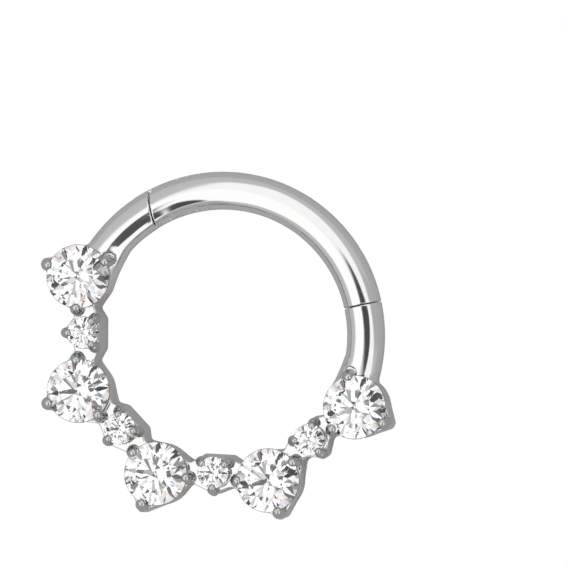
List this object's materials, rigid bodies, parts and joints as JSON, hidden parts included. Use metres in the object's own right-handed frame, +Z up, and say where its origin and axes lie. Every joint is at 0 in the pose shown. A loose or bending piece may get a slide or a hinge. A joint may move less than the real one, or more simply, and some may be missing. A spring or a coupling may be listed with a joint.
{
  "type": "septum clicker",
  "caption": "Hinged septum ring of round wire with a stone-set gallery along its front half, which clicks shut with a ball catch.",
  "frame": {"origin": "centre of the wire ring, on the surface that the ring rests on when it lies on its back", "axes": "+X to the right with the hinge on the left, +Y from the stone-set gallery to the plain bar, +Z up through the stones' tables"},
  "size_m": [0.0123, 0.0113, 0.0016],
  "materials": {
    "polished_metal": "mirror-polished silver-coloured steel",
    "clear_stone": "clear round brilliants with polished facets"
  },
  "bodies": {
    "frame": {"gallery_frame": "polished_metal", "large_stone_1": "clear_stone", "large_stone_2": "clear_stone", "large_stone_3": "clear_stone", "large_stone_4": "clear_stone", "large_stone_5": "clear_stone", "small_stone_1": "clear_stone", "small_stone_2": "clear_stone", "small_stone_3": "clear_stone", "small_stone_4": "clear_stone"},
    "bar": {"hinge_bar": "polished_metal", "hinge_pin": "polished_metal"}
  },
  "joints": [
    {"name": "hinge", "type": "hinge", "parent": "frame", "child": "bar", "pos_m": [-0.0031, 0.0034, 0.00062], "axis": [0, 0, 1], "range_deg": [0, 105]}
  ]
}
